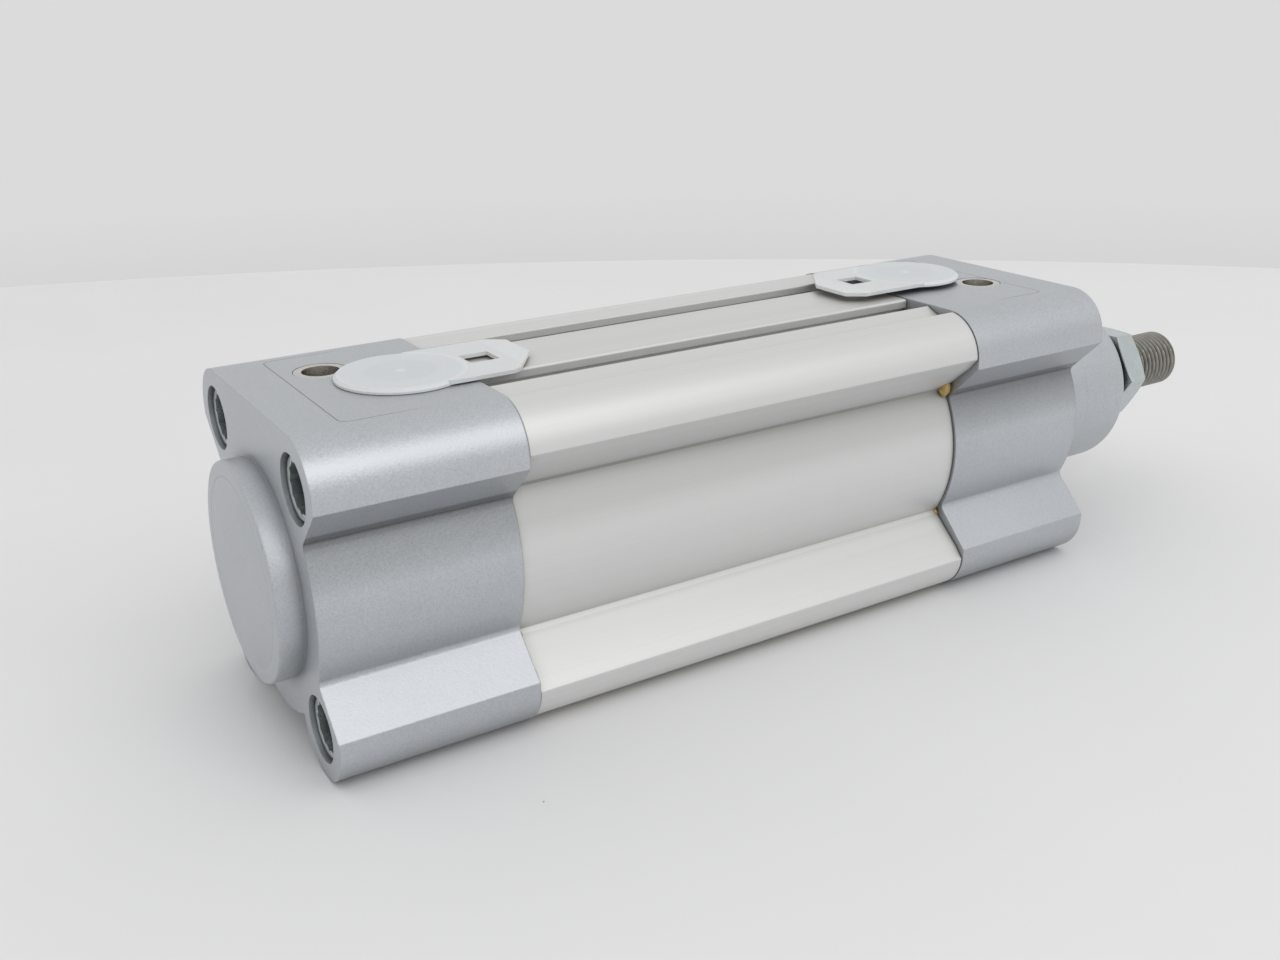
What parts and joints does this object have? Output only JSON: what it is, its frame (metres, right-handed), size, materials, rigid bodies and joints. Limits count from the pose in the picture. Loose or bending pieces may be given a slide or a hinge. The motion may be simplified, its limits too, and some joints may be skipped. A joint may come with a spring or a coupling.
{
  "type": "pneumatic cylinder",
  "caption": "Double-acting pneumatic cylinder with a square profile barrel, bolted end caps, cushion adjusters, plugged ports and a sliding piston rod with a threaded end and nut.",
  "frame": {"origin": "centre of the rear mounting face, on the cylinder axis", "axes": "+X along the cylinder axis towards the rod end, +Z towards the ports, +Y completes a right-handed frame"},
  "size_m": [0.213, 0.054, 0.0556],
  "materials": {
    "cap_paint": "silver-grey metallic paint on die-cast aluminium",
    "anodised_aluminium": "clear anodised extrusion, satin",
    "zinc_plate": "bright zinc plate",
    "stainless": "turned, bright",
    "chromed_rod": "ground and hard chromed",
    "bare_aluminium": "turned",
    "seal_rubber": "moulded nitrile",
    "seal_polyurethane": "moulded polyurethane",
    "bearing_bronze": "sintered, oil filled",
    "guide_plastic": "machined acetal",
    "magnet": "plastic bonded ferrite",
    "plug_plastic": "milky translucent polyethylene"
  },
  "bodies": {
    "housing": {"rear_cap": "cap_paint", "front_cap": "cap_paint", "barrel": "anodised_aluminium", "rear_cap_screws": "zinc_plate", "front_cap_screws": "zinc_plate", "rear_barrel_seal": "seal_rubber", "front_barrel_seal": "seal_rubber", "rear_cushion_seal": "seal_polyurethane", "front_cushion_seal": "seal_polyurethane", "rod_bearing_bush": "bearing_bronze", "rod_seal": "seal_polyurethane", "rod_wiper": "seal_polyurethane", "rear_cushion_ring": "stainless", "front_cushion_ring": "stainless"},
    "sliding_seals": {"piston_rear_seal": "seal_polyurethane", "piston_front_seal": "seal_polyurethane", "piston_guide_ring": "guide_plastic"},
    "rod_and_piston": {"piston_rod": "chromed_rod", "piston_rear_half": "bare_aluminium", "piston_front_half": "bare_aluminium", "piston_magnet": "magnet", "piston_rear_buffer": "seal_rubber", "piston_front_buffer": "seal_rubber", "rear_cushion_sleeve": "bare_aluminium", "front_cushion_sleeve": "bare_aluminium", "rod_piston_seal": "seal_rubber"},
    "nut": {"rod_nut": "zinc_plate"},
    "rear_adjuster": {"rear_cushion_screw": "stainless", "rear_cushion_screw_seal": "seal_rubber"},
    "front_adjuster": {"front_cushion_screw": "stainless", "front_cushion_screw_seal": "seal_rubber"},
    "rear_plug": {"rear_port_plug": "plug_plastic"},
    "front_plug": {"front_port_plug": "plug_plastic"}
  },
  "joints": [
    {"name": "rod_slide", "type": "slide", "parent": "housing", "child": "sliding_seals", "axis": [1, 0, 0], "range_m": [0, 0.05]},
    {"name": "rod_turn", "type": "hinge", "parent": "sliding_seals", "child": "rod_and_piston", "pos_m": [0.0525, 0, 0], "axis": [1, 0, 0], "continuous": true},
    {"name": "nut_turn", "type": "hinge", "parent": "rod_and_piston", "child": "nut", "pos_m": [0.1902, 0, 0], "axis": [1, 0, 0], "continuous": true},
    {"name": "rear_cushion_turn", "type": "hinge", "parent": "housing", "child": "rear_adjuster", "pos_m": [0.0143, 0.0085, 0.02], "axis": [0, 0, 1], "range_deg": [-360, 1080]},
    {"name": "front_cushion_turn", "type": "hinge", "parent": "housing", "child": "front_adjuster", "pos_m": [0.1431, -0.0056, 0.02], "axis": [0, 0, 1], "range_deg": [-360, 1080]},
    {"name": "rear_plug_pull", "type": "slide", "parent": "housing", "child": "rear_plug", "axis": [0, 0, 1], "range_m": [0, 0.012]},
    {"name": "front_plug_pull", "type": "slide", "parent": "housing", "child": "front_plug", "axis": [0, 0, 1], "range_m": [0, 0.012]}
  ]
}
